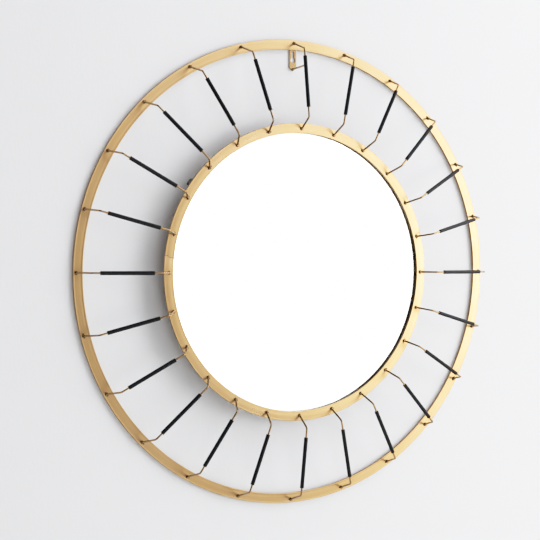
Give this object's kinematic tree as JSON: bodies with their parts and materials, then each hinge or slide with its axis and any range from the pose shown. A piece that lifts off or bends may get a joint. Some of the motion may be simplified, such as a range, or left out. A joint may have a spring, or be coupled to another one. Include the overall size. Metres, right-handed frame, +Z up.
{
  "type": "wall mirror",
  "caption": "Round wall mirror in two brass-coloured hoops, the inner standing forward, joined by bent spoke wires with black sleeves, with a keyhole plate to hang it.",
  "frame": {"origin": "on the back of the hanger plate at the end of its keyhole slot, where the mirror hangs on a nail, in the plane of the wall", "axes": "+Y into the wall, -Y out of the mirror's face, +Z up, +X to the right as seen from the front"},
  "size_m": [0.76, 0.0595, 0.76],
  "materials": {
    "brass": "satin brushed gold, clear lacquered",
    "sleeve": "matt black tube",
    "mirror": "clear silvered glass",
    "board": "dark painted board",
    "clip": "black painted steel"
  },
  "bodies": {
    "root": {"outer_hoop": "brass", "inner_hoop": "brass", "spoke_wire_01": "brass", "spoke_wire_02": "brass", "spoke_wire_03": "brass", "spoke_wire_04": "brass", "spoke_wire_05": "brass", "spoke_wire_06": "brass", "spoke_wire_07": "brass", "spoke_wire_08": "brass", "spoke_wire_09": "brass", "spoke_wire_10": "brass", "spoke_wire_11": "brass", "spoke_wire_12": "brass", "spoke_wire_13": "brass", "spoke_wire_14": "brass", "spoke_wire_15": "brass", "spoke_wire_16": "brass", "spoke_wire_17": "brass", "spoke_wire_18": "brass", "spoke_wire_19": "brass", "spoke_wire_20": "brass", "spoke_wire_21": "brass", "spoke_wire_22": "brass", "spoke_wire_23": "brass", "spoke_wire_24": "brass", "sleeve_01": "sleeve", "sleeve_02": "sleeve", "sleeve_03": "sleeve", "sleeve_04": "sleeve", "sleeve_05": "sleeve", "sleeve_06": "sleeve", "sleeve_07": "sleeve", "sleeve_08": "sleeve", "sleeve_09": "sleeve", "sleeve_10": "sleeve", "sleeve_11": "sleeve", "sleeve_12": "sleeve", "sleeve_13": "sleeve", "sleeve_14": "sleeve", "sleeve_15": "sleeve", "sleeve_16": "sleeve", "sleeve_17": "sleeve", "sleeve_18": "sleeve", "sleeve_19": "sleeve", "sleeve_20": "sleeve", "sleeve_21": "sleeve", "sleeve_22": "sleeve", "sleeve_23": "sleeve", "sleeve_24": "sleeve", "mirror_glass": "mirror", "backing_board": "board", "retaining_clip_1": "clip", "retaining_clip_2": "clip", "retaining_clip_3": "clip", "hanger_plate": "brass", "hanger_brace": "brass"}
  },
  "joints": []
}
